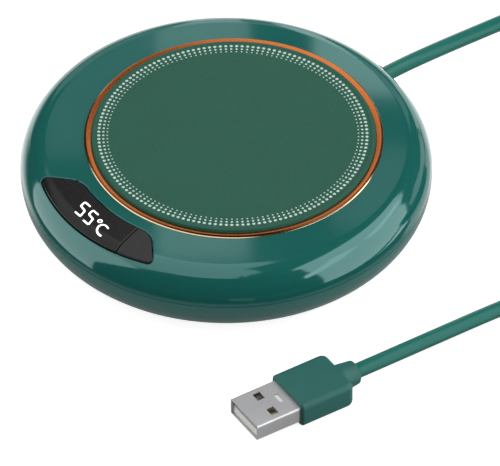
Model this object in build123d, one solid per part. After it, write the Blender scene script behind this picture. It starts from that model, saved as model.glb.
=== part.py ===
from build123d import *
import os
from math import cos, pi, radians, sin, sqrt, tan

# Electric mug warmer. Millimetres, +Z up, origin on the table under the middle of the casing.
# The display looks towards -Y and the cord leaves towards +Y.

# ---- casing, outside ----
body_diameter = 100.0
base_clearance = 1.1         # the feet hold the casing this far off the table
parting_height = 12.4        # where the two shells meet
upper_depth = 8.8            # from the parting line up to the flat rim
side_radius = 9.0
shoulder_radius = 5.0
shoulder_turn = 43.5         # degrees from upright where the side arc runs into the shoulder arc
seam_gap = 0.15
wall = 2.2

# ---- lap joint and housing screws ----
lap_width = 1.0
lap_height = 1.2
lap_gap = 0.1
pillar_inset = 9.5           # pillar axis to the casing's widest outline
pillar_radius = 3.0
pillar_angles = (35.0, 145.0, 215.0, 325.0)
tower_radius = 3.6
tower_height = 2.9           # above the inside floor
screw_seat_depth = 2.8       # counterbore, measured from the flat underside
housing_screw_length = 8.0
housing_shank_radius = 1.1
housing_head_radius = 2.2
housing_head_height = 1.6
screw_clearance = 0.2
thread_gap = 0.03
bore_end_gap = 0.5           # pilot holes are this much deeper than the screws reach
cross_share = 1.3            # driver cross, of the head's radius
cross_width = 0.5

# ---- stiffening ribs ----
rib_thickness = 1.2
roof_rib_depth = 3.2         # down from the inside of the roof
roof_rib_angles = (5.0, 62.0, 118.0, 175.0, 205.0, 335.0)
floor_rib_height = 1.6
floor_rib_angles = (0.0, 65.0, 115.0, 180.0, 245.0, 295.0)
floor_hub_radius = 9.0
floor_rib_end_gap = 8.0      # from the rib's outer end to the inside wall

# ---- feet ----
foot_radius = 5.0
foot_circle = 30.0
foot_sink = 0.6
foot_gap = 0.1
foot_bevel = 0.4

# ---- plate, ring and heater stack ----
seat_offset = 2.4            # the plate sits this much behind the middle of the casing
rim_width = 15.4             # casing outline to the plate's edge, on average
plate_rise = 0.95            # plate face above the flat rim
plate_seat_depth = 2.0
plate_edge_round = 0.8
plate_gap = 0.22
ring_width = 1.32
ring_rise = 0.3
ring_bevel = 0.3
ring_gap = 0.08
collar_wall = 1.8
ledge_thickness = 1.6
ledge_reach = 2.2            # how far the ledge reaches under the plate
spreader_thickness = 0.8
spreader_gap = 0.5
heater_thickness = 0.5
heater_inset = 1.0
pad_thickness = 2.1
retainer_thickness = 1.2
retainer_lip = 1.4
retainer_angles = (0.0, 120.0, 240.0)
retainer_boss_radius = 2.8
retainer_boss_inset = 0.2    # boss axis inside the plate's edge
retainer_screw_length = 3.0
retainer_bore_end_gap = 0.3
retainer_ear_wall = 0.4
small_shank_radius = 0.8
small_head_radius = 1.7
small_head_height = 0.9
sensor_radius = 2.2
sensor_height = 1.7
sensor_pocket_gap = 0.4
sensor_ledge = 0.4           # the retainer holds the sensor by this edge
lead_slot_length = 8.0
lead_slot_width = 4.0
lead_slot_x = -11.0

# ---- display and key ----
panel_inner_inset = 12.65    # casing outline to the panel's inner edge
panel_outer_inset = 2.9
panel_inner_half_angle = 19.8
panel_tip_half_angle = 26.6
panel_tip_inset = 3.3
panel_shoulder_share = 0.16  # corner radius, of the panel's inner radius
panel_tip_share = 0.024      # of the tip radius
divider_angle = 13.9
divider_gap = 0.3
panel_gap = 0.2
panel_edge_bevel = 0.15
opening_round = 0.22
pocket_depth = 1.8
bed_margin = 1.4
bed_depth = 4.3              # under the flat rim
key_travel = 0.4
key_stop_gap = 0.3
key_stem_length = 4.4
key_stem_width = 2.8
key_guide_gap = 0.2
key_hook_reach = 0.6
key_hook_height = 0.8
key_hook_gap = 0.1
key_middle_angle = 19.6
key_stem_inset = 8.4
display_angle = -5.9
display_inset = 9.0
display_length = 20.0
display_depth = 7.6
display_height = 8.8
display_lens_step = 0.6
display_gap = 0.4
display_step_gap = 0.3       # the block's step under the bed

# ---- control board ----
board_thickness = 1.2
board_half_width = 24.0
board_back_inset = 36.0      # casing outline at the front to the board's back edge
board_wall_gap = 4.3
board_post_radius = 2.6
board_post_places = ((19.5, 31.5), (-19.5, 31.5), (21.0, 15.0), (-21.0, 15.0))  # sideways, from the front
board_screw_length = 5.0
switch_size = 6.0
switch_height = 3.5
switch_plunger_radius = 1.7
switch_plunger_gap = 0.12
switch_total_height = 5.0
switch_floor = 0.8
switch_roof = 0.8
switch_flange = 0.35
switch_flange_height = 0.6
switch_flange_gap = 0.1
switch_dome_thickness = 0.12
switch_dome_gap = 0.02
switch_contact_gap = 0.1     # key stem above the plunger
chip_size = (9.0, 5.0, 1.5)
chip_place = (-4.0, 22.5)    # places are sideways and from the casing's front outline
chip_pitch = 1.27
chip_legs = 7
chip_leg_size = (0.4, 0.9, 0.3)
chip_standoff = 0.15
transistor_size = (6.4, 5.4, 2.2)
transistor_place = (10.0, 24.0)
transistor_tab_size = (5.1, 1.2, 0.6)
transistor_leg_size = (0.8, 1.6, 0.5)
transistor_leg_spread = 4.5
capacitor_radius = 2.5
capacitor_height = 5.4
capacitor_base_width = 5.25
capacitor_base_height = 0.6
capacitor_edge_round = 0.4
capacitor_place = (17.0, 19.5)
resistor_size = (2.0, 1.25, 0.5)
resistor_rows = 2
resistor_columns = 4
resistor_pitch = (2.8, 2.4)
resistor_place = (1.0, 29.3)
connector_size = (6.0, 4.6, 3.4)
connector_wall = 0.6
connector_pocket = 2.6
connector_places = (-11.0, 0.0, 11.0)
lead_radius = 0.5
lead_pitch = 2.0
power_lead_exit = 2.7        # straight out of the cord's end
power_lead_dive = 11.0       # from the cord's end to where the wires lie low
power_lead_drift = 2.0
power_lead_low = 3.5         # below the middle of the connector
power_lead_rise = 16.0       # from the connector to where the wires start to rise
power_lead_entry = 6.0       # straight into the connector

# ---- cord inside the casing ----
cord_diameter = 3.8
exit_height = 12.9
exit_stand = 0.6             # grommet face in front of the casing's widest outline
grommet_radius = 2.8
grommet_flange_radius = 3.7
grommet_flange_depth = 1.4
grommet_wall_depth = 3.8
grommet_gap = 0.1
grommet_collar_radius = 3.4
grommet_collar_depth = 3.0
grommet_collar_gap = 0.05
grommet_face_bevel = 0.3
cord_grip_gap = 0.04
clamp_grommet_gap = 1.0
clamp_width = 4.4
clamp_length = 16.0
clamp_thickness = 1.7
clamp_corner_round = 1.2
clamp_saddle_share = 0.6      # saddle, of the clamp's width
clamp_screw_spread = 11.4
clamp_post_radius = 2.1
clamp_squeeze = 0.5          # bar underside below the top of the cord
clamp_screw_length = 5.0
saddle_width = 6.0
tail_beyond_clamp = 1.5

# ---- free cord ----
# Corner points of each route, chosen by hand. The first leaves the grommet, the second leaves the plug.
near_route = (
    (0.0, body_diameter / 2 + exit_stand, exit_height),
    (0.0, 60.0, exit_height),
    (-0.7, 71.2, 9.8),
    (-1.5, 82.4, 7.1),
    (-2.4, 93.6, 4.3),
    (-1.2, 105.8, 2.3),
    (7.6, 120.0, 1.9),
    (18.6, 128.0, 1.9),
    (31.0, 130.8, 1.9),
    (43.5, 129.1, 2.8),
    (55.7, 124.7, 5.2),
    (66.8, 117.3, 8.4),
    (77.7, 108.3, 10.1),
)
far_route = (
    (67.87, -18.54, 3.6),
    (69.14, -10.4, 3.6),
    (70.4, 5.6, 2.4),
    (72.6, 23.2, 1.9),
    (76.6, 43.6, 1.9),
    (82.2, 64.4, 1.9),
    (87.6, 83.3, 2.5),
)
corner_share = 0.45          # of the shorter run, taken up by each corner's arc
coil_centre = (61.3, 87.3)
coil_mean_radius = 22.8
coil_columns = 3             # turns side by side, and one on the other at the outside
coil_layers = 3
tie_angle = 22.0
tie_width = 4.0
tie_thickness = 0.6

# ---- plug ----
plug_face = (64.88, -37.6)   # middle of the grip's front face, on the table
plug_heading = 81.1          # degrees, from the plug's tip towards the cord
shell_width = 12.0
shell_height = 4.5
shell_exposed = 12.4
shell_hidden = 5.0
shell_wall = 0.35
shell_round = 0.5
shell_window = (2.5, 2.0)
shell_window_spread = 6.2
shell_window_setback = 6.1
shell_slot = (3.0, 1.1)
shell_slot_setback = 9.9
insulator_height = 1.9
insulator_setback = 0.6
insulator_block_setback = 8.7
contact_section = (1.0, 0.15)
contact_end_gap = 0.1
contact_pitch = 2.4
contact_setback = 1.2
grip_width = 14.0
grip_height = 7.2
grip_length = 15.0
grip_rear_round = 2.0
grip_edge_round = 1.6
grip_front_round = 0.3
neck_length = 4.3
neck_root_radius = 3.5
neck_radius = 3.0
neck_end_round = 0.5

# ---- places worked out from the sizes above ----
body_radius = body_diameter / 2
top_height = parting_height + upper_depth
side_centre = body_radius - side_radius
blend_reach = side_radius - shoulder_radius
shoulder_centre = side_centre + blend_reach * cos(radians(shoulder_turn))
shoulder_height = top_height - shoulder_radius
waist_height = shoulder_height - blend_reach * sin(radians(shoulder_turn))
lower_radius = parting_height - base_clearance
flat_base_radius = body_radius - lower_radius
floor_height = base_clearance + wall

plate_radius = body_radius - rim_width
plate_top = top_height + plate_rise
seat_height = top_height - plate_seat_depth
ring_inner_radius = plate_radius + plate_gap
ring_outer_radius = ring_inner_radius + ring_width
well_radius = ring_outer_radius + ring_gap
ledge_radius = plate_radius - ledge_reach
ledge_bottom = seat_height - ledge_thickness
spreader_radius = ledge_radius - spreader_gap
heater_top = seat_height - spreader_thickness
pad_top = heater_top - heater_thickness
retainer_top = pad_top - pad_thickness
retainer_bottom = retainer_top - retainer_thickness
retainer_boss_circle = plate_radius - retainer_boss_inset

panel_inner_radius = body_radius - panel_inner_inset
panel_outer_radius = body_radius - panel_outer_inset
panel_tip_radius = body_radius - panel_tip_inset
bed_bottom = top_height - bed_depth
key_plate = pocket_depth - key_travel - key_stop_gap
display_top = top_height - pocket_depth - display_gap
board_top = display_top - display_height
board_bottom = board_top - board_thickness
board_radius = body_radius - board_wall_gap
stem_bottom = board_top + switch_total_height + switch_contact_gap

screw_seat = base_clearance + screw_seat_depth
tower_top = floor_height + tower_height
pillar_circle = body_radius - pillar_inset
exit_reach = body_radius + exit_stand
grommet_start = exit_reach - grommet_wall_depth - grommet_flange_depth
clamp_middle = grommet_start - clamp_grommet_gap - clamp_width / 2
tail_end = clamp_middle - clamp_width / 2 - tail_beyond_clamp
cord_radius = cord_diameter / 2
grip_middle = grip_height / 2
board_back = board_back_inset - body_radius
board_posts = [(x, inset - body_radius) for x, inset in board_post_places]


def along(angle, reach, height=0.0):
    """Place on a circle about the casing's axis; 0 degrees is +X."""
    return Pos(reach * cos(radians(angle)), reach * sin(radians(angle)), height)


def at_front(angle, reach, height=0.0):
    """Frame at the front, turned from -Y towards +X, with its own -Y pointing outwards."""
    return Rot(0, 0, angle) * Pos(0, -reach, height)


def disc(radius, low, high):
    """Upright cylinder between two heights."""
    return Pos(0, 0, low) * Cylinder(radius, high - low, align=(Align.CENTER, Align.CENTER, Align.MIN))


def block(length, depth, low, high):
    """Upright box, centred in plan, between two heights."""
    return Pos(0, 0, low) * Box(length, depth, high - low, align=(Align.CENTER, Align.CENTER, Align.MIN))


def rod(radius, start, end):
    """Cylinder along Y at the cord's exit height, between two distances from the casing's axis."""
    bar = Cylinder(radius, end - start, rotation=(90, 0, 0), align=(Align.CENTER, Align.CENTER, Align.MAX))
    return Pos(0, start, exit_height) * bar


def turned(edges):
    """Solid turned about the upright axis from a closed half section."""
    return revolve(Plane.XZ * make_face(edges), Axis.Z)


def upper_form(inset=0.0, foot=parting_height):
    """Outside of the upper shell down to a foot height, or its inside when inset by the wall."""
    rim = body_radius - inset
    side = side_radius - inset
    shoulder = shoulder_radius - inset
    top = top_height - inset
    return turned([
        Line((0, foot), (rim, foot)),
        Line((rim, foot), (rim, waist_height)),
        CenterArc((side_centre, waist_height), side, 0, shoulder_turn),
        CenterArc((shoulder_centre, shoulder_height), shoulder, shoulder_turn, 90 - shoulder_turn),
        Line((shoulder_centre, top), (0, top)),
        Line((0, top), (0, foot)),
    ])


def lower_form(inset=0.0):
    """Outside of the lower shell, or its inside when inset by the wall."""
    bottom = base_clearance + inset
    arc = lower_radius - inset
    return turned([
        Line((0, bottom), (flat_base_radius, bottom)),
        CenterArc((flat_base_radius, parting_height), arc, -90, 90),
        Line((flat_base_radius + arc, parting_height), (0, parting_height)),
        Line((0, parting_height), (0, bottom)),
    ])


def panel_outline(grow=0.0):
    """Plan shape of the display panel: a band along the rim with swept tips."""
    inner = panel_inner_half_angle
    tip = panel_tip_half_angle
    shoulders = [at_front(turn, panel_inner_radius).position for turn in (-inner, inner)]
    tips = [at_front(turn, panel_tip_radius).position for turn in (-tip, tip)]
    inner_middle = at_front(0, panel_inner_radius).position
    outer_middle = at_front(0, panel_outer_radius).position
    face = make_face([
        ThreePointArc(shoulders[0], inner_middle, shoulders[1]),
        Line(shoulders[1], tips[1]),
        ThreePointArc(tips[1], outer_middle, tips[0]),
        Line(tips[0], shoulders[0]),
    ])
    corners = face.vertices().sort_by(Axis.Y)
    face = fillet(corners[2:], panel_shoulder_share * panel_inner_radius)
    face = fillet(face.vertices().sort_by(Axis.Y)[:2], panel_tip_share * panel_tip_radius)
    return offset(face, grow) if grow else face


def panel_prism(grow, low):
    """Upright block of the panel's outline, from a height to above the casing."""
    return Pos(0, 0, low) * extrude(panel_outline(grow), top_height + 1 - low)


def panel_opening():
    """Room for the window and key: the panel's outline, down to a bed of even depth."""
    return panel_prism(0, bed_bottom) - Pos(0, 0, -pocket_depth) * upper_form(foot=0)


def divider_side(side, gap):
    """Half space on one side of the line between window and key; +1 is the key's side."""
    reach = 2 * body_radius
    half = Box(reach, reach, reach, align=(Align.MIN, Align.MAX, Align.CENTER))
    if side < 0:
        half = mirror(half, Plane.YZ)
    return Rot(0, 0, divider_angle) * Pos(side * gap / 2, 0, top_height) * half


def skin(solid, thickness):
    """Top layer of a solid, of even depth under the upper shell's outside."""
    return (solid & upper_form()) - Pos(0, 0, -thickness) * upper_form(foot=0)


def on_outside(spot):
    """Whether a point lies on the casing's roof or shoulder, off the line where the two run together."""
    reach = Vector(spot.X, spot.Y, 0).length
    beyond = min(max(0, reach - shoulder_centre), shoulder_radius)
    height = shoulder_height + sqrt(shoulder_radius ** 2 - beyond ** 2)
    return abs(spot.Z - height) < 0.01 and reach < panel_outer_radius + 0.1


def display_edges(solid):
    """Edges of the display panel, or of its opening, at the casing's outside."""
    found = []
    for edge in solid.edges():
        spots = [edge @ share for share in (0, 0.5, 1)]
        blend = all(abs(Vector(spot.X, spot.Y, 0).length - shoulder_centre) < 0.01 for spot in spots)
        if all(on_outside(spot) for spot in spots) and not blend:
            found.append(edge)
    return found


def cord_bore(radius):
    """Round hole through the casing's back wall for the cord and its grommet."""
    return rod(radius, grommet_start, 2 * body_radius)


def screw(shank_radius, shank_length, head_radius, head_height):
    """Screw with its head's underside at the origin and its shank along +Z."""
    part = disc(shank_radius, 0, shank_length) + disc(head_radius, -head_height, 0)
    cross = block(cross_share * head_radius, cross_width, -head_height, -head_height / 2)
    return part - cross - Rot(0, 0, 90) * cross


def plate_frame(height=0.0):
    return Pos(0, seat_offset, height)


def board_frame(place):
    """Frame on the board's upper face, from a place given sideways and from the casing's front."""
    return Pos(place[0], place[1] - body_radius, board_top)


def lead_slot():
    return SlotOverall(lead_slot_length, lead_slot_width)


# ---- casing ----

def ribs(angles, start, end, low, high):
    """Upright ribs that run outwards from the casing's axis."""
    bar = Pos((start + end) / 2, 0, 0) * block(end - start, rib_thickness, low, high)
    return Compound([Rot(0, 0, angle) * bar for angle in angles])


def floor_ribs():
    """Low star of ribs on the inside floor, round a middle ring."""
    top = floor_height + floor_rib_height
    reach = body_radius - wall - floor_rib_end_gap
    ring = disc(floor_hub_radius, floor_height, top) - disc(floor_hub_radius - rib_thickness, 0, top)
    return ring + ribs(floor_rib_angles, floor_hub_radius - rib_thickness / 2, reach, floor_height, top)


def roof_ribs():
    """Ribs under the roof, from the plate's collar into the outer wall."""
    roof = top_height - 0.5 * wall
    star = ribs(roof_rib_angles, well_radius, body_radius, roof - roof_rib_depth, roof)
    return star & upper_form(0.5 * wall, foot=parting_height + lap_height + 2 * lap_gap)


def make_bottom_cover():
    shell = lower_form() - lower_form(wall)
    lap_inner = body_radius - wall
    lap = disc(lap_inner + lap_width, parting_height, parting_height + lap_height)
    shell += lap - disc(lap_inner, parting_height, parting_height + lap_height)
    outside = lower_form()
    for angle in pillar_angles:
        shell += along(angle, pillar_circle) * disc(tower_radius, base_clearance, tower_top) & outside
    for x, y in board_posts:
        shell += Pos(x, y, 0) * disc(board_post_radius, floor_height, board_bottom)
    shell += clamp_base() + floor_ribs()
    for angle in pillar_angles:
        place = along(angle, pillar_circle)
        shell -= place * disc(housing_head_radius + screw_clearance, 0, screw_seat)
        shell -= place * disc(housing_shank_radius + screw_clearance, 0, tower_top)
    for x, y in board_posts:
        pilot = small_shank_radius + thread_gap
        shell -= Pos(x, y, 0) * disc(pilot, board_top - board_screw_length - bore_end_gap, board_bottom)
    for angle in range(45, 360, 90):
        recess = disc(foot_radius + foot_gap, base_clearance, base_clearance + foot_sink)
        shell -= along(angle, foot_circle) * recess
    return shell - cord_bore(grommet_radius + grommet_gap)


def clamp_base():
    """Saddle and two screw posts that carry the cord clamp."""
    bar_bottom = exit_height + cord_radius - clamp_squeeze
    base = Pos(0, clamp_middle, 0) * block(saddle_width, clamp_saddle_share * clamp_width, floor_height, exit_height)
    for side in (-1, 1):
        post = disc(clamp_post_radius, floor_height, bar_bottom)
        post -= disc(small_shank_radius + thread_gap, bar_bottom - clamp_screw_length, bar_bottom)
        base += Pos(side * clamp_screw_spread / 2, clamp_middle, 0) * post
    groove = Cylinder(cord_radius + cord_grip_gap, 4 * clamp_width, rotation=(90, 0, 0))
    return base - Pos(0, clamp_middle, exit_height) * groove


def make_top_housing():
    shell = upper_form(foot=parting_height + seam_gap) - panel_opening()
    shell = fillet(display_edges(shell), opening_round) - upper_form(wall)
    outside = upper_form(0.5 * wall, foot=tower_top)
    for angle in pillar_angles:
        shell += along(angle, pillar_circle) * disc(pillar_radius, tower_top, top_height) & outside
    shell += plate_frame() * disc(well_radius + collar_wall, ledge_bottom, top_height)
    for angle in retainer_angles:
        boss = disc(retainer_boss_radius, retainer_top, ledge_bottom)
        shell += plate_frame() * along(angle, retainer_boss_circle) * boss
    shell += (panel_prism(bed_margin, bed_bottom) & upper_form(0.5 * wall)) - panel_opening()
    shell += roof_ribs()
    lap_room = disc(body_radius - wall + lap_width + lap_gap, 0, parting_height + lap_height + lap_gap)
    lap_room -= disc(body_radius - wall, 0, top_height)
    shell -= lap_room
    shell -= plate_frame() * disc(well_radius, seat_height, top_height + 1)
    shell -= plate_frame() * disc(ledge_radius, 0, top_height)
    light = block(display_length, display_depth, bed_bottom - 1, top_height)
    shell -= at_front(display_angle, body_radius - display_inset) * light
    guide = block(key_stem_length + key_guide_gap, key_stem_width + key_guide_gap, bed_bottom - 1, top_height)
    shell -= at_front(key_middle_angle, body_radius - key_stem_inset) * guide
    for angle in pillar_angles:
        bore = disc(housing_shank_radius + thread_gap, 0, screw_seat + housing_screw_length + bore_end_gap)
        shell -= along(angle, pillar_circle) * bore
    for angle in retainer_angles:
        bore = disc(small_shank_radius + thread_gap, 0, retainer_bottom + retainer_screw_length + retainer_bore_end_gap)
        shell -= plate_frame() * along(angle, retainer_boss_circle) * bore
    return shell - cord_bore(grommet_radius + grommet_gap)


def make_housing_screws():
    fastener = screw(housing_shank_radius, housing_screw_length, housing_head_radius, housing_head_height)
    return Compound([along(angle, pillar_circle, screw_seat) * fastener for angle in pillar_angles])


def make_rubber_feet():
    foot = disc(foot_radius, 0, base_clearance + foot_sink)
    foot = chamfer(foot.edges().group_by(Axis.Z)[0], foot_bevel)
    return Compound([along(angle, foot_circle) * foot for angle in range(45, 360, 90)])


# ---- plate and heater stack ----

def make_heating_plate():
    plate = disc(plate_radius, seat_height, plate_top)
    plate = fillet(plate.edges().group_by(Axis.Z)[-1], plate_edge_round)
    return plate_frame() * plate


def make_trim_ring():
    top = top_height + ring_rise
    ring = disc(ring_outer_radius, seat_height, top) - disc(ring_inner_radius, seat_height, top)
    return plate_frame() * chamfer(ring.edges().group_by(Axis.Z)[-1], ring_bevel)


def make_heat_spreader():
    return plate_frame() * disc(spreader_radius, heater_top, seat_height)


def make_heater_element():
    return plate_frame() * disc(spreader_radius - heater_inset, pad_top, heater_top)


def make_insulation_pad():
    pad = disc(spreader_radius, retainer_top, pad_top)
    pad -= disc(sensor_radius + sensor_pocket_gap, retainer_top, pad_top)
    pad -= Pos(lead_slot_x, 0, retainer_top) * extrude(lead_slot(), pad_thickness)
    return plate_frame() * pad


def make_plate_retainer():
    lip_bottom = retainer_bottom - retainer_lip
    tray = disc(spreader_radius, lip_bottom, retainer_top)
    tray -= disc(spreader_radius - retainer_thickness, lip_bottom, retainer_bottom)
    ear_radius = retainer_boss_radius + retainer_ear_wall
    for angle in retainer_angles:
        ear = disc(ear_radius, retainer_bottom, retainer_top)
        bridge = Pos(-ear_radius, 0, 0) * block(2 * ear_radius, 2 * ear_radius, retainer_bottom, retainer_top)
        hole = disc(small_shank_radius + screw_clearance, lip_bottom, retainer_top)
        head_room = disc(small_head_radius + screw_clearance, lip_bottom, retainer_bottom)
        tray += Rot(0, 0, angle) * Pos(retainer_boss_circle, 0, 0) * (ear + bridge)
        tray -= Rot(0, 0, angle) * Pos(retainer_boss_circle, 0, 0) * (hole + head_room)
    tray -= disc(sensor_radius - sensor_ledge, retainer_bottom, retainer_top)
    tray -= Pos(lead_slot_x, 0, retainer_bottom) * extrude(lead_slot(), retainer_thickness)
    return plate_frame() * tray


def make_retainer_screws():
    fastener = screw(small_shank_radius, retainer_screw_length, small_head_radius, small_head_height)
    places = [along(angle, retainer_boss_circle, retainer_bottom) for angle in retainer_angles]
    return Compound([plate_frame() * place * fastener for place in places])


def make_temperature_sensor():
    return plate_frame() * disc(sensor_radius, pad_top - sensor_height, pad_top)


# ---- display, key and switch ----

def make_display_window():
    window = skin(panel_prism(-panel_gap, bed_bottom) & divider_side(-1, divider_gap), pocket_depth)
    return chamfer(display_edges(window), panel_edge_bevel)


def make_display_module():
    lens_bottom = bed_bottom - display_step_gap
    low = block(display_length, display_depth, board_top, lens_bottom)
    inset = 2 * display_lens_step
    lens = block(display_length - inset, display_depth - inset, lens_bottom, display_top)
    return at_front(display_angle, body_radius - display_inset) * (low + lens)


def make_mode_key():
    cap = skin(panel_prism(-panel_gap, bed_bottom) & divider_side(1, divider_gap), key_plate)
    cap = chamfer(display_edges(cap), panel_edge_bevel)
    place = at_front(key_middle_angle, body_radius - key_stem_inset)
    stem = place * block(key_stem_length, key_stem_width, stem_bottom, top_height)
    stem &= Pos(0, 0, -0.5 * key_plate) * upper_form(foot=0)
    hook_top = bed_bottom - key_hook_gap
    hook_length = key_stem_length + 2 * key_hook_reach
    hooks = place * block(hook_length, key_stem_width, hook_top - key_hook_height, hook_top)
    return cap + stem + hooks


def switch_frame(height=0.0):
    return at_front(key_middle_angle, body_radius - key_stem_inset, board_top + height)


def switch_flange_top():
    return switch_height - switch_roof - switch_flange_gap


def make_switch_body():
    neck = switch_plunger_radius + switch_plunger_gap
    well = neck + switch_flange
    body = block(switch_size, switch_size, 0, switch_height)
    body -= disc(neck, switch_floor, switch_height)
    body -= disc(well, switch_floor, switch_height - switch_roof)
    return switch_frame() * body


def make_switch_plunger():
    stem = disc(switch_plunger_radius, switch_flange_top(), switch_total_height)
    flange_radius = switch_plunger_radius + switch_flange
    flange = disc(flange_radius, switch_flange_top() - switch_flange_height, switch_flange_top())
    return switch_frame() * (stem + flange)


def make_switch_dome():
    """Thin snap dome between the switch floor and the plunger."""
    rise = switch_flange_top() - switch_flange_height - switch_floor - switch_dome_gap
    reach = switch_plunger_radius
    radius = (reach ** 2 + rise ** 2) / (2 * rise)
    ball = Pos(0, 0, switch_floor + rise - radius) * Sphere(radius)
    hollow = Pos(0, 0, switch_floor + rise - radius) * Sphere(radius - switch_dome_thickness)
    return switch_frame() * ((ball - hollow) & disc(2 * reach, switch_floor, switch_floor + rise))


# ---- control board ----

def make_control_board():
    outline = Circle(board_radius) & Pos(0, board_back) * Rectangle(
        2 * board_half_width, board_radius, align=(Align.CENTER, Align.MAX))
    board = Pos(0, 0, board_bottom) * extrude(outline, board_thickness)
    for x, y in board_posts:
        board -= Pos(x, y, 0) * disc(small_shank_radius + screw_clearance, board_bottom, board_top)
    return board


def make_board_screws():
    fastener = screw(small_shank_radius, board_screw_length, small_head_radius, small_head_height)
    return Compound([Pos(x, y, board_top) * Rot(180, 0, 0) * fastener for x, y in board_posts])


def make_control_chip():
    length, depth, height = chip_size
    leg_width, leg_reach, leg_height = chip_leg_size
    chip = block(length, depth, chip_standoff, height)
    for number in range(chip_legs):
        offset_x = (number - (chip_legs - 1) / 2) * chip_pitch
        chip += Pos(offset_x, 0, 0) * block(leg_width, depth + 2 * leg_reach, 0, leg_height)
    return board_frame(chip_place) * chip


def make_power_transistor():
    length, depth, height = transistor_size
    tab_width, tab_reach, tab_height = transistor_tab_size
    leg_width, leg_reach, leg_height = transistor_leg_size
    part = block(length, depth, 0, height)
    part += Pos(0, depth / 2, 0) * block(tab_width, 2 * tab_reach, 0, tab_height)
    for side in (-1, 1):
        leg = block(leg_width, 2 * leg_reach, 0, leg_height)
        part += Pos(side * transistor_leg_spread / 2, -depth / 2, 0) * leg
    return board_frame(transistor_place) * part


def make_filter_capacitor():
    can = disc(capacitor_radius, capacitor_base_height, capacitor_height)
    can = fillet(can.edges().group_by(Axis.Z)[-1], capacitor_edge_round)
    base = block(capacitor_base_width, capacitor_base_width, 0, capacitor_base_height)
    return board_frame(capacitor_place) * (can + base)


def make_board_resistors():
    length, depth, height = resistor_size
    places = GridLocations(*resistor_pitch, resistor_columns, resistor_rows)
    chip = block(length, depth, 0, height)
    return Compound([board_frame(resistor_place) * place * chip for place in places])


def make_lead_connectors():
    length, depth, height = connector_size
    socket = block(length, depth, 0, height)
    pocket = block(length - 2 * connector_wall, connector_pocket, connector_wall, height - connector_wall)
    socket -= Pos(0, (depth - connector_pocket) / 2, 0) * pocket
    place_y = board_back - depth / 2
    return Compound([Pos(x, place_y, board_top) * socket for x in connector_places])


def lead_pair(route):
    """Two insulated wires side by side along one route, from a list of points."""
    wires = []
    for side in (-1, 1):
        points = [Vector(x + side * lead_pitch / 2, y, z) for x, y, z in route]
        path = FilletPolyline(points, radius=corner_radii(points))
        wires.append(tube(path, lead_radius))
    return Compound(wires)


def socket_entry(x):
    """Where a pair of wires ends, inside the connector's pocket."""
    return (x, board_back - connector_pocket, board_top + connector_size[2] / 2)


def make_heater_leads():
    x, y, z = socket_entry(connector_places[0])
    return lead_pair([(lead_slot_x, seat_offset, pad_top), (lead_slot_x, seat_offset, z), (x, y, z)])


def make_sensor_leads():
    x, y, z = socket_entry(connector_places[1])
    top = pad_top - sensor_height
    return lead_pair([(0, seat_offset, top), (0, seat_offset, z), (x, y, z)])


def make_power_leads():
    x, y, z = socket_entry(connector_places[2])
    low = z - power_lead_low
    return lead_pair([
        (0, tail_end, exit_height),
        (0, tail_end - power_lead_exit, exit_height),
        (power_lead_drift, tail_end - power_lead_dive, low),
        (x - power_lead_drift, y + power_lead_rise, low),
        (x, y + power_lead_entry, z),
        (x, y, z),
    ])


# ---- cord, clamp and grommet ----

def corner_radii(points):
    """Largest arc that each corner's two runs allow."""
    radii = []
    for before, here, after in zip(points, points[1:], points[2:]):
        half_turn = radians((here - before).get_angle(after - here)) / 2
        shorter = min((here - before).length, (after - here).length)
        radii.append(corner_share * shorter / tan(half_turn))
    return radii


def tube(path, radius):
    start = Plane(origin=path @ 0, z_dir=path % 0)
    return sweep(start * Circle(radius), path=path)


def free_cord(name, route):
    """One stretch of the free cord; prints the bend radii and compares volume with section times length."""
    points = [Vector(*point) for point in route]
    radii = corner_radii(points)
    path = FilletPolyline(points, radius=radii)
    cord = tube(path, cord_radius)
    share = cord.volume / (pi * cord_radius ** 2 * path.length)
    print(name, "length", round(path.length, 1), "radii", [round(radius, 1) for radius in radii])
    print(name, "volume over section times length", round(share, 4))
    return cord


def make_cord_grommet():
    """Rubber grommet: inner flange, sleeve through the wall and a collar that follows the casing outside."""
    flange = rod(grommet_flange_radius, grommet_start, grommet_start + grommet_flange_depth)
    sleeve = rod(grommet_radius, grommet_start, exit_reach)
    collar = rod(grommet_collar_radius, exit_reach - grommet_collar_depth, exit_reach)
    collar = chamfer(collar.edges().sort_by(Axis.Y)[-1], grommet_face_bevel)
    collar -= upper_form(-grommet_collar_gap, foot=0)
    collar -= lower_form(-grommet_collar_gap)
    return flange + sleeve + collar - rod(cord_radius + cord_grip_gap, 0, 2 * body_radius)


def make_cord_tail():
    """Straight end of the cord, from the clamp's inner side to the grommet's face."""
    return rod(cord_radius, tail_end, exit_reach)


def make_cord_clamp():
    bottom = exit_height + cord_radius - clamp_squeeze
    bar = block(clamp_length, clamp_width, bottom, bottom + clamp_thickness)
    bar = fillet(bar.edges().filter_by(Axis.Z), clamp_corner_round)
    for side in (-1, 1):
        hole = disc(small_shank_radius + screw_clearance, bottom, bottom + clamp_thickness)
        bar -= Pos(side * clamp_screw_spread / 2, 0, 0) * hole
    groove = Cylinder(cord_radius + cord_grip_gap, 4 * clamp_width, rotation=(90, 0, 0))
    return Pos(0, clamp_middle, 0) * (bar - Pos(0, 0, exit_height) * groove)


def make_clamp_screws():
    fastener = screw(small_shank_radius, clamp_screw_length, small_head_radius, small_head_height)
    top = exit_height + cord_radius - clamp_squeeze + clamp_thickness
    spread = clamp_screw_spread / 2
    return Compound([Pos(side * spread, clamp_middle, top) * Rot(180, 0, 0) * fastener for side in (-1, 1)])


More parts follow.
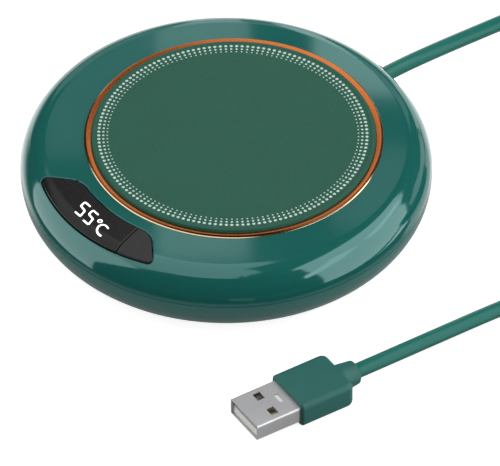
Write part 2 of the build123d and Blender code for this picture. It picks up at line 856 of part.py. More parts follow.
def coil_section(grow=0.0):
    """Round-cornered section through the turns: full columns low down, one turn more at the outside on top."""
    inner = coil_mean_radius - (coil_columns - 1) / 2 * cord_diameter
    outer = coil_mean_radius + (coil_columns - 1) / 2 * cord_diameter
    low = tie_thickness + cord_radius
    top = low + (coil_layers - 1) * cord_diameter
    middle = top - cord_diameter
    centres = make_face(Polyline((inner, low), (outer, low), (outer, top), (inner, middle), close=True))
    return offset(centres, cord_radius + grow)


def coil_frame():
    return Pos(coil_centre[0], coil_centre[1], 0)


def make_cord_coil():
    return coil_frame() * revolve(Plane.XZ * coil_section(), Axis.Z)


def make_coil_tie():
    """Flat band round all the turns at one place."""
    band = revolve(Plane.XZ * (coil_section(tie_thickness) - coil_section()), Axis.Z)
    slice_box = Pos(coil_mean_radius, 0, 0) * Box(2 * coil_mean_radius, tie_width, 2 * coil_mean_radius)
    return coil_frame() * Rot(0, 0, tie_angle) * (band & slice_box)


# ---- plug ----

def plug_frame():
    """Frame at the grip's front face: +Y towards the cord, -Y out of the plug's mouth."""
    return Pos(plug_face[0], plug_face[1], grip_middle) * Rot(0, 0, plug_heading - 90)


def bar_along(width, height, start, end):
    """Box along the plug's axis, centred across it."""
    return Pos(0, start, 0) * Box(width, end - start, height, align=(Align.CENTER, Align.MIN, Align.CENTER))


def shell_body(grow=0.0):
    body = bar_along(shell_width + grow, shell_height + grow, -shell_exposed, shell_hidden)
    return fillet(body.edges().filter_by(Axis.Y), shell_round)


def make_plug_shell():
    cavity = bar_along(shell_width - 2 * shell_wall, shell_height - 2 * shell_wall, -shell_exposed, shell_hidden)
    body = shell_body() - cavity
    for side in (-1, 1):
        window = Box(*shell_window, 2 * shell_height)
        body -= Pos(side * shell_window_spread / 2, shell_window_setback - shell_exposed, 0) * window
    slot = Box(*shell_slot, 2 * shell_wall)
    slot = fillet(slot.edges().filter_by(Axis.Z), shell_slot[1] / 4)
    return plug_frame() * (body - Pos(0, shell_slot_setback - shell_exposed, (shell_height - shell_wall) / 2) * slot)


def make_plug_insulator():
    """White tongue on the lower wall, with a block that fills the shell's rear."""
    inside_width = shell_width - 2 * shell_wall
    inside_height = shell_height - 2 * shell_wall
    tongue = bar_along(inside_width, insulator_height, insulator_setback - shell_exposed, shell_hidden)
    tongue = Pos(0, 0, (insulator_height - inside_height) / 2) * tongue
    block_start = insulator_block_setback - shell_exposed
    return plug_frame() * (tongue + bar_along(inside_width, inside_height, block_start, shell_hidden))


def make_plug_contacts():
    width, height = contact_section
    level = insulator_height - (shell_height / 2 - shell_wall) + height / 2
    start = insulator_setback + contact_setback - shell_exposed
    end = insulator_block_setback - contact_end_gap - shell_exposed
    strip = Pos(0, 0, level) * bar_along(width, height, start, end)
    return plug_frame() * Compound([Pos((n - 1.5) * contact_pitch, 0, 0) * strip for n in range(4)])


def make_plug_overmold():
    """Soft grip with round edges and a tapered neck that leads the cord out."""
    plan = Pos(0, grip_length / 2) * Rectangle(grip_width, grip_length)
    plan = fillet(plan.vertices().sort_by(Axis.Y)[2:], grip_rear_round)
    grip = Pos(0, 0, -grip_middle) * extrude(plan, grip_height)
    faces = grip.faces().sort_by(Axis.Z)
    rims = faces[0].edges() + faces[-1].edges()
    grip = fillet([edge for edge in rims if edge.center().Y > grip_front_round], grip_edge_round)
    grip = chamfer(grip.faces().sort_by(Axis.Y)[0].edges(), grip_front_round)
    neck_end = grip_length + neck_length
    root = grip_length - grip_rear_round
    neck = revolve(make_face([
        Line((0, root), (neck_root_radius, root)),
        Line((neck_root_radius, root), (neck_root_radius, grip_length)),
        Line((neck_root_radius, grip_length), (neck_radius, neck_end)),
        Line((neck_radius, neck_end), (0, neck_end)),
        Line((0, neck_end), (0, root)),
    ]), Axis.Y)
    neck = fillet(neck.edges().sort_by(Axis.Y)[-1], neck_end_round)
    return plug_frame() * (grip + neck - shell_body())


makers = {
    "top_housing": make_top_housing,
    "bottom_cover": make_bottom_cover,
    "housing_screws": make_housing_screws,
    "rubber_feet": make_rubber_feet,
    "heating_plate": make_heating_plate,
    "trim_ring": make_trim_ring,
    "heat_spreader": make_heat_spreader,
    "heater_element": make_heater_element,
    "insulation_pad": make_insulation_pad,
    "plate_retainer": make_plate_retainer,
    "retainer_screws": make_retainer_screws,
    "temperature_sensor": make_temperature_sensor,
    "display_window": make_display_window,
    "display_module": make_display_module,
    "mode_key": make_mode_key,
    "switch_body": make_switch_body,
    "switch_dome": make_switch_dome,
    "switch_plunger": make_switch_plunger,
    "control_board": make_control_board,
    "board_screws": make_board_screws,
    "control_chip": make_control_chip,
    "power_transistor": make_power_transistor,
    "filter_capacitor": make_filter_capacitor,
    "board_resistors": make_board_resistors,
    "lead_connectors": make_lead_connectors,
    "heater_leads": make_heater_leads,
    "sensor_leads": make_sensor_leads,
    "power_leads": make_power_leads,
    "cord_grommet": make_cord_grommet,
    "cord_tail": make_cord_tail,
    "cord_clamp": make_cord_clamp,
    "clamp_screws": make_clamp_screws,
    "cord_near": lambda: free_cord("cord_near", near_route),
    "cord_far": lambda: free_cord("cord_far", far_route),
    "cord_coil": make_cord_coil,
    "coil_tie": make_coil_tie,
    "plug_overmold": make_plug_overmold,
    "plug_shell": make_plug_shell,
    "plug_insulator": make_plug_insulator,
    "plug_contacts": make_plug_contacts,
}

os.makedirs("parts", exist_ok=True)
for node, make in makers.items():
    export_step(make(), f"parts/{node}.step")
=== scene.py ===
import math

import bpy
from mathutils import Matrix, Vector


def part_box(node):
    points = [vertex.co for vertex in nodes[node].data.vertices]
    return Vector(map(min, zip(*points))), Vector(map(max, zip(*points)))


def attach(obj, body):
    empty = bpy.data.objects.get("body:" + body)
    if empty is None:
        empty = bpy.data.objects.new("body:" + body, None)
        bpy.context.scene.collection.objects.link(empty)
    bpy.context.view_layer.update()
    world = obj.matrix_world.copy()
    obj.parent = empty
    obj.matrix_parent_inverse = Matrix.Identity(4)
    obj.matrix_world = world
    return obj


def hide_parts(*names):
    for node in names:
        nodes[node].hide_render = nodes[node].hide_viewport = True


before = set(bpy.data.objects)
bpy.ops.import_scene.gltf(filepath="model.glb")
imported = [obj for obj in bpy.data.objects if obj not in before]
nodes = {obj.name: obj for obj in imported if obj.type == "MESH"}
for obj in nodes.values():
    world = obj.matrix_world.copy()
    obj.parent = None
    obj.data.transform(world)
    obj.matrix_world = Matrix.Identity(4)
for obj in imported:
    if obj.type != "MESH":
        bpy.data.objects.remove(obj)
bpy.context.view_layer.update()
mm = 0.001
print("stage: frame loaded,", len(nodes), "nodes")


# far away with a long lens, so that nothing tapers
cameraSetup = {
    "azimuth": -41.46,      # where the camera stands, seen from its aim, in degrees from +X
    "elevation": 42.07,
    "aim": (21.07 * mm, -10.95 * mm, 12.4 * mm),
    "viewWidth": 120.98 * mm,
    "lens": 1500.0,
    "sensor": 36.0,
    "clipStart": 0.05,
    "clipEnd": 50.0,
}


def outwardTo(azimuth, elevation):
    # unit vector out from the part; the azimuth is counted from +X
    a, e = math.radians(azimuth), math.radians(elevation)
    return Vector((math.cos(a) * math.cos(e), math.sin(a) * math.cos(e), math.sin(e)))


def makeCamera(setup):
    data = bpy.data.cameras.new("camera")
    data.lens = setup["lens"]
    data.sensor_width = setup["sensor"]
    data.clip_start = setup["clipStart"]
    data.clip_end = setup["clipEnd"]
    camera = bpy.data.objects.new("camera", data)
    bpy.context.scene.collection.objects.link(camera)
    outward = outwardTo(setup["azimuth"], setup["elevation"])
    distance = setup["viewWidth"] * setup["lens"] / setup["sensor"]
    camera.location = Vector(setup["aim"]) + outward * distance
    camera.rotation_mode = "QUATERNION"
    camera.rotation_quaternion = (-outward).to_track_quat("-Z", "Y")
    bpy.context.scene.camera = camera


makeCamera(cameraSetup)
print("stage: camera set")


# one cord from the grommet, wound into a coil on the table, and on to the plug
mainCord = {
    "diameter": 3.8 * mm,
    "length": 1.15,
    "roundness": 6,         # the tube has 4 sides more than twice this
    "smoothness": 10,       # steps between two points
    "nearRoute": [          # from the grommet to the top of the coil; all routes are in millimetres
        (0.0, 50.6, 12.9),
        (0.0, 57.2, 12.55),
        (-0.7, 71.2, 9.8),
        (-1.5, 82.4, 7.1),
        (-2.4, 93.6, 4.3),
        (-1.2, 105.8, 2.3),
        (7.6, 120.0, 1.9),
        (18.6, 128.0, 1.9),
        (31.0, 130.8, 1.9),
        (43.5, 129.1, 2.8),
        (55.7, 124.7, 5.2),
        (66.8, 117.3, 8.4),
    ],
    "farRoute": [           # from the bottom of the coil to the plug
        (82.2, 64.4, 1.9),
        (76.6, 43.6, 1.9),
        (72.6, 23.2, 1.9),
        (70.4, 5.6, 2.4),
        (69.14, -10.4, 3.6),
        (67.87, -18.54, 3.6),
    ],
    "coilCentre": (61.3, 87.3),
    "middleRadius": 22.8,
    "turnPitch": 3.8,       # one cord beside or on the next
    "lowestTurn": 2.5,
    "startAngle": 52.0,     # degrees, where the cord comes onto the coil
    "pointEvery": 15.0,
    "walk": [               # degrees wound, column and layer reached; 0 is the innermost and the lowest
        (260.0, 2, 2),
        (90.0, 2, 1),
        (210.0, 2, 1),
        (90.0, 1, 1),
        (270.0, 1, 1),
        (90.0, 0, 1),
        (210.0, 0, 1),
        (90.0, 0, 0),
        (210.0, 0, 0),
        (90.0, 1, 0),
        (250.7, 1, 0),
        (90.0, 2, 0),
        (270.0, 2, 0),
    ],
    "carries": ("coil_tie", "plug_overmold", "plug_shell", "plug_insulator", "plug_contacts"),
}


def smoothStep(t):
    return t * t * (3 - 2 * t)


def coilPoints(cord):
    # turns laid beside and on each other, wound clockwise from the top outer column to the bottom outer one
    centreX, centreY = cord["coilCentre"]
    angle, column, layer = cord["startAngle"], 2.0, 2.0
    points = []
    for sweep, nextColumn, nextLayer in cord["walk"]:
        steps = round(sweep / cord["pointEvery"])
        for step in range(steps):
            t = smoothStep(step / steps)
            radius = cord["middleRadius"] + cord["turnPitch"] * (column + (nextColumn - column) * t - 1)
            height = cord["lowestTurn"] + cord["turnPitch"] * (layer + (nextLayer - layer) * t)
            here = math.radians(angle - sweep * step / steps)
            points.append((centreX + radius * math.cos(here), centreY + radius * math.sin(here), height))
        angle, column, layer = angle - sweep, nextColumn, nextLayer
    end = math.radians(angle)
    radius = cord["middleRadius"] + cord["turnPitch"] * (column - 1)
    points.append((centreX + radius * math.cos(end), centreY + radius * math.sin(end), cord["lowestTurn"]))
    return points


def makeCord(cord):
    points = cord["nearRoute"] + coilPoints(cord) + cord["farRoute"]
    curve = bpy.data.curves.new("mainCord", "CURVE")
    curve.dimensions = "3D"
    curve.bevel_depth = 1.0         # times each point's own radius
    curve.bevel_resolution = cord["roundness"]
    curve.resolution_u = cord["smoothness"]
    curve.use_fill_caps = True
    spline = curve.splines.new("NURBS")
    spline.points.add(len(points) - 1)
    for point, (x, y, z) in zip(spline.points, points):
        point.co = (x * mm, y * mm, z * mm, 1)
        point.radius = cord["diameter"] / 2
    spline.order_u = 3
    spline.use_endpoint_u = True
    piece = bpy.data.objects.new("mainCord", curve)
    bpy.context.scene.collection.objects.link(piece)
    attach(piece, "casing")
    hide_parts("cord_near", "cord_far", "cord_coil")
    return piece


cordPiece = makeCord(mainCord)
print("stage: cord laid")


# effects that every finish shares
grainSetup = {
    "scale": 2000.0,
    "detail": 3.0,
    "roughness": 0.55,
    "darkest": 0.3,         # noise below this counts as Low, and above lightest as High
    "lightest": 0.7,
}
edgeSetup = {
    "radius": 0.3 * mm,
    "gain": 6.0,
    "samples": 4,
}
dustSetup = {
    "amount": 0.1,
    "scale": 900.0,
    "steepest": 0.4,        # upward part of the normal where dust begins to lie
    "detail": 6.0,
    "roughness": 0.7,
    "thinnest": 0.5,
    "thickest": 0.8,
    "colour": (0.75, 0.74, 0.7),
}
usualFinish = {             # where a piece's own look doesn't say
    "grainDetail": grainSetup["detail"],
    "stretch": (1, 1, 1),
    "turn": (0, 0, 0),
    "toneScale": 120.0,
    "edgeRadius": 0.25 * mm,
    "edgeGain": 1.5,
    "depth": 0.05 * mm,
    "metal": 0.0,
    "glint": (1.0, 1.0, 1.0),
    "ior": 1.5,
}


def addNode(tree, kind, **values):
    # sets inputs by name and other settings as attributes
    node = tree.nodes.new(kind)
    for name, value in values.items():
        if name in node.inputs:
            node.inputs[name].default_value = value
        else:
            setattr(node, name, value)
    return node


def newGroup(name, inputs, outputs):
    tree = bpy.data.node_groups.new(name, "ShaderNodeTree")
    for title, kind, value in inputs:
        socket = tree.interface.new_socket(title, in_out="INPUT", socket_type=kind)
        socket.default_value = value
    for title, kind in outputs:
        tree.interface.new_socket(title, in_out="OUTPUT", socket_type=kind)
    return tree, tree.nodes.new("NodeGroupInput"), tree.nodes.new("NodeGroupOutput")


def makeGrainGroup():
    # fine irregular surface in the part's own metres; Stretch lengthens the grain along an axis
    inputs = [
        ("Scale", "NodeSocketFloat", grainSetup["scale"]),
        ("Detail", "NodeSocketFloat", grainSetup["detail"]),
        ("Stretch", "NodeSocketVector", (1.0, 1.0, 1.0)),
        ("Turn", "NodeSocketVector", (0.0, 0.0, 0.0)),
        ("Low", "NodeSocketFloat", 0.0),
        ("High", "NodeSocketFloat", 1.0),
    ]
    outputs = [("Value", "NodeSocketFloat"), ("Height", "NodeSocketFloat")]
    tree, start, end = newGroup("surfaceGrain", inputs, outputs)
    place = addNode(tree, "ShaderNodeTexCoord")
    turn = addNode(tree, "ShaderNodeVectorRotate", rotation_type="EULER_XYZ")
    stretch = addNode(tree, "ShaderNodeVectorMath", operation="MULTIPLY")
    noise = addNode(tree, "ShaderNodeTexNoise", Roughness=grainSetup["roughness"])
    spread = addNode(tree, "ShaderNodeMapRange")
    spread.inputs["From Min"].default_value = grainSetup["darkest"]
    spread.inputs["From Max"].default_value = grainSetup["lightest"]
    link = tree.links.new
    link(place.outputs["Object"], turn.inputs["Vector"])
    link(start.outputs["Turn"], turn.inputs["Rotation"])
    link(turn.outputs[0], stretch.inputs[0])
    link(start.outputs["Stretch"], stretch.inputs[1])
    link(stretch.outputs[0], noise.inputs["Vector"])
    link(start.outputs["Scale"], noise.inputs["Scale"])
    link(start.outputs["Detail"], noise.inputs["Detail"])
    link(noise.outputs[0], spread.inputs["Value"])
    link(start.outputs["Low"], spread.inputs["To Min"])
    link(start.outputs["High"], spread.inputs["To Max"])
    link(spread.outputs[0], end.inputs["Value"])
    link(noise.outputs[0], end.inputs["Height"])
    return tree


def makeEdgeGroup():
    # near 1 on edges tighter than Radius, 0 on flat ground
    inputs = [
        ("Radius", "NodeSocketFloat", edgeSetup["radius"]),
        ("Gain", "NodeSocketFloat", edgeSetup["gain"]),
    ]
    tree, start, end = newGroup("edgeRub", inputs, [("Mask", "NodeSocketFloat")])
    bevel = addNode(tree, "ShaderNodeBevel", samples=edgeSetup["samples"])
    ground = addNode(tree, "ShaderNodeNewGeometry")
    dot = addNode(tree, "ShaderNodeVectorMath", operation="DOT_PRODUCT")
    away = addNode(tree, "ShaderNodeMath", operation="SUBTRACT")
    away.inputs[0].default_value = 1.0
    gain = addNode(tree, "ShaderNodeMath", operation="MULTIPLY", use_clamp=True)
    link = tree.links.new
    link(start.outputs["Radius"], bevel.inputs["Radius"])
    link(bevel.outputs[0], dot.inputs[0])
    link(ground.outputs["Normal"], dot.inputs[1])
    link(dot.outputs["Value"], away.inputs[1])
    link(away.outputs[0], gain.inputs[0])
    link(start.outputs["Gain"], gain.inputs[1])
    link(gain.outputs[0], end.inputs["Mask"])
    return tree


def makeDustGroup():
    # thin dust that lies on what faces up
    inputs = [
        ("Amount", "NodeSocketFloat", dustSetup["amount"]),
        ("Scale", "NodeSocketFloat", dustSetup["scale"]),
    ]
    tree, start, end = newGroup("thinDust", inputs, [("Mask", "NodeSocketFloat")])
    ground = addNode(tree, "ShaderNodeNewGeometry")
    split = addNode(tree, "ShaderNodeSeparateXYZ")
    upward = addNode(tree, "ShaderNodeMapRange")
    upward.inputs["From Min"].default_value = dustSetup["steepest"]
    place = addNode(tree, "ShaderNodeTexCoord")
    noise = addNode(tree, "ShaderNodeTexNoise", Detail=dustSetup["detail"], Roughness=dustSetup["roughness"])
    specks = addNode(tree, "ShaderNodeMapRange")
    specks.inputs["From Min"].default_value = dustSetup["thinnest"]
    specks.inputs["From Max"].default_value = dustSetup["thickest"]
    lying = addNode(tree, "ShaderNodeMath", operation="MULTIPLY")
    amount = addNode(tree, "ShaderNodeMath", operation="MULTIPLY", use_clamp=True)
    link = tree.links.new
    link(ground.outputs["Normal"], split.inputs[0])
    link(split.outputs["Z"], upward.inputs["Value"])
    link(place.outputs["Object"], noise.inputs["Vector"])
    link(start.outputs["Scale"], noise.inputs["Scale"])
    link(noise.outputs[0], specks.inputs["Value"])
    link(upward.outputs[0], lying.inputs[0])
    link(specks.outputs[0], lying.inputs[1])
    link(lying.outputs[0], amount.inputs[0])
    link(start.outputs["Amount"], amount.inputs[1])
    link(amount.outputs[0], end.inputs["Mask"])
    return tree


grainGroup = makeGrainGroup()
edgeGroup = makeEdgeGroup()
dustGroup = makeDustGroup()


def useGroup(tree, group, **values):
    node = tree.nodes.new("ShaderNodeGroup")
    node.node_tree = group
    for name, value in values.items():
        node.inputs[name].default_value = value
    return node


def mixColour(tree, mask, first, second):
    # first and second are colours or sockets
    mix = tree.nodes.new("ShaderNodeMix")
    mix.data_type = "RGBA"
    tree.links.new(mask, mix.inputs["Factor"])
    for socket, value in ((mix.inputs[6], first), (mix.inputs[7], second)):
        if isinstance(value, bpy.types.NodeSocket):
            tree.links.new(value, socket)
        else:
            socket.default_value = (*value, 1.0)
    return mix.outputs[2]


def calculate(tree, first, second, operation="ADD", clamp=True):
    # first and second are numbers or sockets
    step = addNode(tree, "ShaderNodeMath", operation=operation, use_clamp=clamp)
    for socket, value in ((step.inputs[0], first), (step.inputs[1], second)):
        if isinstance(value, bpy.types.NodeSocket):
            tree.links.new(value, socket)
        else:
            socket.default_value = value
    return step.outputs[0]


def makeFinish(name, look):
    # grain drives roughness and relief, a wider one the tone; edges are rubbed lighter and dust lies on top
    look = dict(usualFinish, **look)
    material = bpy.data.materials.new(name)
    material.use_nodes = True
    tree = material.node_tree
    tree.nodes.clear()
    shader = tree.nodes.new("ShaderNodeBsdfPrincipled")
    output = tree.nodes.new("ShaderNodeOutputMaterial")
    tree.links.new(shader.outputs[0], output.inputs[0])
    grain = useGroup(tree, grainGroup, Scale=look["grainScale"], Detail=look["grainDetail"],
                     Stretch=look["stretch"], Turn=look["turn"], Low=look["rough"][0], High=look["rough"][1])
    tone = useGroup(tree, grainGroup, Scale=look["toneScale"], Low=0.0, High=1.0)
    colour = mixColour(tree, tone.outputs["Value"], look["colour"], look["shade"])
    roughness = grain.outputs["Value"]
    if "edge" in look:
        rub = useGroup(tree, edgeGroup, Radius=look["edgeRadius"], Gain=look["edgeGain"])
        colour = mixColour(tree, rub.outputs["Mask"], colour, look["edge"])
    if "dust" in look:
        dust = useGroup(tree, dustGroup, Amount=look["dust"])
        colour = mixColour(tree, dust.outputs["Mask"], colour, dustSetup["colour"])
        roughness = calculate(tree, roughness, dust.outputs["Mask"])
    tree.links.new(colour, shader.inputs["Base Color"])
    tree.links.new(roughness, shader.inputs["Roughness"])
    bump = addNode(tree, "ShaderNodeBump", Strength=look["relief"], Distance=look["depth"])
    tree.links.new(grain.outputs["Height"], bump.inputs["Height"])
    tree.links.new(bump.outputs[0], shader.inputs["Normal"])
    shader.inputs["Metallic"].default_value = look["metal"]
    shader.inputs["Specular Tint"].default_value = (*look["glint"], 1.0)
    shader.inputs["IOR"].default_value = look["ior"]
    return material


def dress(material, *names):
    for name in names:
        node = nodes[name]
        node.data.materials.clear()
        node.data.materials.append(material)


def meshPiece(name, vertices, faces, material, body):
    mesh = bpy.data.meshes.new(name)
    mesh.from_pydata(vertices, [], faces)
    mesh.validate()
    mesh.polygons.foreach_set("use_smooth", [True] * len(mesh.polygons))
    mesh.materials.append(material)
    piece = bpy.data.objects.new(name, mesh)
    bpy.context.scene.collection.objects.link(piece)
    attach(piece, body)
    return piece


def turnedPiece(name, section, centre, edge, top, materials, body, sides=240):
    # section runs from the inside over the top to the outside
    # each point is millimetres beyond the edge, millimetres above the top, and the number of its material
    vertices, faces, picks = [], [], []
    count = len(section)
    for side in range(sides):
        turn = 2 * math.pi * side / sides
        for beyond, above, pick in section:
            radius = edge + beyond * mm
            vertices.append((centre.x + radius * math.cos(turn), centre.y + radius * math.sin(turn),
                             top + above * mm))
        here, following = side * count, (side + 1) % sides * count
        for k in range(count):
            n = (k + 1) % count
            faces.append((here + k, following + k, following + n, here + n))
            picks.append(section[k][2])
    piece = meshPiece(name, vertices, faces, materials[0], body)
    for material in materials[1:]:
        piece.data.materials.append(material)
    piece.data.polygons.foreach_set("material_index", picks)
    return piece


# glossy two-part casing
casingLook = {
    "colour": (0.008, 0.096, 0.083),
    "shade": (0.0075, 0.09, 0.078),
    "glint": (0.64, 1.0, 0.98),
    "ior": 1.7,
    "rough": (0.07, 0.1),
    "grainScale": 1400.0,
    "relief": 0.012,
    "edge": (0.02, 0.13, 0.115),
    "dust": 0.01,
}
dress(makeFinish("casingGloss", casingLook), "top_housing", "bottom_cover")
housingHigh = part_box("top_housing")[1]
casingEdge, rimHeight = housingHigh.x, housingHigh.z
print("stage: casing finished")


# matt heated plate with its printed border
plateLook = {
    "colour": (0.0145, 0.084, 0.055),
    "shade": (0.0135, 0.08, 0.052),
    "ior": 1.3,
    "rough": (0.5, 0.62),
    "grainScale": 5200.0,
    "relief": 0.25,
    "depth": 0.02 * mm,
    "edge": (0.05, 0.16, 0.11),
    "dust": 0.02,
}
plateLow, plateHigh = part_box("heating_plate")
plateCentre = (plateLow + plateHigh) / 2
plateRadius = (plateHigh.x - plateLow.x) / 2
plateMaterial = makeFinish("plateEnamel", plateLook)
dress(plateMaterial, "heating_plate")

dotBorder = {
    "count": 153,
    "turn": 0.47,               # degrees
    "shift": (-0.15 * mm, -0.15 * mm),
    "rows": (                # inside the plate's edge, and radius of a dot
        (2.06 * mm, 0.4 * mm),
        (3.16 * mm, 0.3 * mm),
        (4.12 * mm, 0.21 * mm),
    ),
    "thickness": 0.03 * mm,
    "dome": ((1.0, -0.2), (0.96, 0.8), (0.6, 1.0)),     # share of the radius, and of the thickness
    "sides": 12,
}
inkLook = {
    "colour": (0.46, 0.6, 0.53),
    "shade": (0.4, 0.54, 0.47),
    "rough": (0.45, 0.6),
    "grainScale": 4000.0,
    "relief": 0.2,
    "toneScale": 900.0,
}


def makeDots(border, material):
    # printed dots, each a thin low dome
    vertices, faces = [], []
    sides = border["sides"]
    levels = len(border["dome"]) - 1
    for inset, dotRadius in border["rows"]:
        ring = plateRadius - inset
        for number in range(border["count"]):
            turn = 2 * math.pi * number / border["count"] + math.radians(border["turn"])
            x = plateCentre.x + border["shift"][0] + ring * math.cos(turn)
            y = plateCentre.y + border["shift"][1] + ring * math.sin(turn)
            first = len(vertices)
            for share, lift in border["dome"]:
                for side in range(sides):
                    around = 2 * math.pi * side / sides
                    vertices.append((x + share * dotRadius * math.cos(around),
                                     y + share * dotRadius * math.sin(around),
                                     plateHigh.z + lift * border["thickness"]))
            for level in range(levels):
                for side in range(sides):
                    here = first + level * sides + side
                    following = first + level * sides + (side + 1) % sides
                    faces.append((here, following, following + sides, here + sides))
            top = first + levels * sides
            faces.append(tuple(range(top, top + sides)))
            faces.append(tuple(range(first + sides - 1, first - 1, -1)))
    piece = meshPiece("plateDots", vertices, faces, material, "casing")


makeDots(dotBorder, makeFinish("dotInk", inkLook))
plateBrim = {                   # the plate's tight outer edge, from its widest line and its top
    "section": ((-1.4, -0.1, 0), (-1.4, 0.005, 0), (-0.8, 0.005, 0), (-0.4, 0.0, 0), (-0.26, -0.05, 0),
                (-0.18, -0.15, 0), (-0.14, -0.3, 0), (-0.14, -1.25, 0)),
}
brimPiece = turnedPiece("plateBrim", plateBrim["section"], plateCentre, plateHigh.x, plateHigh.z,
                        (plateMaterial,), "casing")
print("stage: plate finished")


# thin copper ring round the plate
ringLook = {
    "colour": (0.51, 0.146, 0.038),
    "shade": (0.48, 0.136, 0.034),
    "rough": (0.26, 0.32),
    "grainScale": 2500.0,
    "relief": 0.02,
    "metal": 1.0,
}
# the foot is truly polished, and its copper is made paler than the band's: a painted highlight that gives
# the cream line along the ring
ringFootPaintedHighlightLook = dict(ringLook, colour=(0.78, 0.57, 0.37), shade=(0.75, 0.54, 0.34), rough=(0.1, 0.14),
                    relief=0.0)
# the step is a near-black copy of the ring's copper: painted shade, a dark line all round the ring
ringStepPaintedShadeLook = dict(ringLook, colour=(0.09, 0.034, 0.013), shade=(0.08, 0.03, 0.011), rough=(0.25, 0.33))
copperRing = {                  # from the plain ring's edge and the top of the casing's rim
    "section": (                # 0 is the satin band, 1 the polished foot, whose paler copper is a painted highlight, 2 the step between them, whose near-black copper is painted shade
        (-1.59, -0.6, 0), (-1.59, 0.18, 0), (-1.54, 0.24, 0), (-1.44, 0.27, 0), (-1.24, 0.32, 0),
        (-0.84, 0.42, 0), (-0.34, 0.545, 0), (-0.29, 0.55, 2), (-0.25, 0.52, 2), (-0.04, 0.13, 2),
        (-0.02, 0.11, 1), (0.01, 0.1, 1), (0.17, 0.055, 1), (0.2, 0.04, 1), (0.22, 0.0, 1),
        (0.22, -0.6, 1),
    ),
}
ringMaterials = (makeFinish("copperRing", ringLook), makeFinish("copperFootPaintedHighlight", ringFootPaintedHighlightLook),
                 makeFinish("copperStepPaintedShade", ringStepPaintedShadeLook))
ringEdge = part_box("trim_ring")[1].x
ringPiece = turnedPiece("copperRing", copperRing["section"], plateCentre, ringEdge, rimHeight, ringMaterials,
                        "casing")
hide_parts("trim_ring")
print("stage: ring finished")


# smoked display panel and the key at its right end
panelLook = {
    "colour": (0.0085, 0.008, 0.0083),
    "shade": (0.0075, 0.007, 0.0073),
    "ior": 1.3,
    "rough": (0.17, 0.22),
    "grainScale": 2600.0,
    "relief": 0.03,
    "edge": (0.03, 0.03, 0.03),
    "edgeRadius": 0.15 * mm,
    "dust": 0.01,
}
keyLook = dict(panelLook, colour=(0.024, 0.0232, 0.0236), shade=(0.021, 0.0204, 0.0207), rough=(0.36, 0.44))
dress(makeFinish("smokedPanel", panelLook), "display_window")
dress(makeFinish("keyBlack", keyLook), "mode_key")

litNumber = {                   # digit, letter and their places in plan millimetres
    "strokeWidth": 0.46 * mm,
    "proud": 0.04 * mm,
    "across": ((-1, 0.4), (-0.5, 1.0), (0.5, 1.0), (1, 0.4)),   # share of the half width, and of the height
    "endSteps": 8,
    "digit": ((0.38, 1.99), (-1.54, 2.12), (-1.19, 0.4), (0.79, 0.03), (1.55, -2.13), (-0.35, -2.0)),
    "digitPlaces": ((-4.83, -42.0), (-1.3, -42.5)),
    "letter": ((4.43, -41.96), (3.37, -41.66), (2.48, -42.1), (2.33, -43.12), (2.95, -44.3), (3.95, -44.95),
               (5.1, -44.96)),
    "degreePlace": (1.19, -41.71),
    "degreeRadius": 0.5,
    "degreeWidth": 0.32 * mm,
    "degreeStep": 15,
    "cornerRound": 0.4,
    "cornerSteps": 6,
    "pointSpacing": 0.15,
    "shoulderInset": 6.1 * mm,      # how far inside the casing's edge the rim turns down
    "shoulderRadius": 5.0 * mm,
}


def rimSurface(x, y):
    # height of the casing's outside near the display
    beyond = max(0.0, math.hypot(x, y) - (casingEdge - litNumber["shoulderInset"]))
    radius = litNumber["shoulderRadius"]
    return rimHeight - radius + math.sqrt(radius * radius - beyond * beyond)


def strokeMesh(vertices, faces, line, width, closed=False):
    # flat ribbon of even width along a plan line, laid on the display's surface, with round ends
    count = len(line)
    rows = []
    for index, point in enumerate(line):
        before = line[(index - 1) % count] if closed or index else line[0]
        after = line[(index + 1) % count] if closed or index < count - 1 else line[-1]
        along = (Vector(after) - Vector(before)).normalized()
        across = Vector((-along.y, along.x))
        row = []
        for share, lift in litNumber["across"]:
            spot = Vector(point) + across * share * width / 2
            row.append(len(vertices))
            vertices.append((spot.x, spot.y, rimSurface(spot.x, spot.y) + lift * litNumber["proud"]))
        rows.append(row)
    pairs = list(zip(rows, rows[1:])) + ([(rows[-1], rows[0])] if closed else [])
    for low, high in pairs:
        for k in range(len(low) - 1):
            faces.append((low[k], low[k + 1], high[k + 1], high[k]))
    if closed:
        return
    endSteps = litNumber["endSteps"]
    edgeLift = litNumber["across"][0][1] * litNumber["proud"]
    for point, neighbour in ((line[0], line[1]), (line[-1], line[-2])):
        outward = (Vector(point) - Vector(neighbour)).normalized()
        across = Vector((-outward.y, outward.x))
        fan = []
        for step in range(endSteps + 1):
            turn = math.pi * step / endSteps
            spot = Vector(point) + (across * math.cos(turn) + outward * math.sin(turn)) * width / 2
            fan.append(len(vertices))
            vertices.append((spot.x, spot.y, rimSurface(spot.x, spot.y) + edgeLift))
        middle = len(vertices)
        vertices.append((point[0], point[1], rimSurface(*point) + litNumber["proud"]))
        for a, b in zip(fan, fan[1:]):
            faces.append((middle, a, b))


def glyphLine(corners, place=(0.0, 0.0)):
    # a line through the corners with each one rounded, moved to a place; millimetres in, metres out
    corners = [Vector(corner) + Vector(place) for corner in corners]
    rounded = [corners[0]]
    reach, cornerSteps = litNumber["cornerRound"], litNumber["cornerSteps"]
    for before, here, after in zip(corners, corners[1:], corners[2:]):
        for step in range(cornerSteps + 1):
            t = step / cornerSteps
            rounded.append(here + (before - here).normalized() * reach * (1 - t) ** 2
                           + (after - here).normalized() * reach * t ** 2)
    rounded.append(corners[-1])
    line = []
    for a, b in zip(rounded, rounded[1:]):
        steps = max(1, round((b - a).length / litNumber["pointSpacing"]))
        line += [(a + (b - a) * k / steps) * mm for k in range(steps)]
    line.append(rounded[-1] * mm)
    return [tuple(point) for point in line]


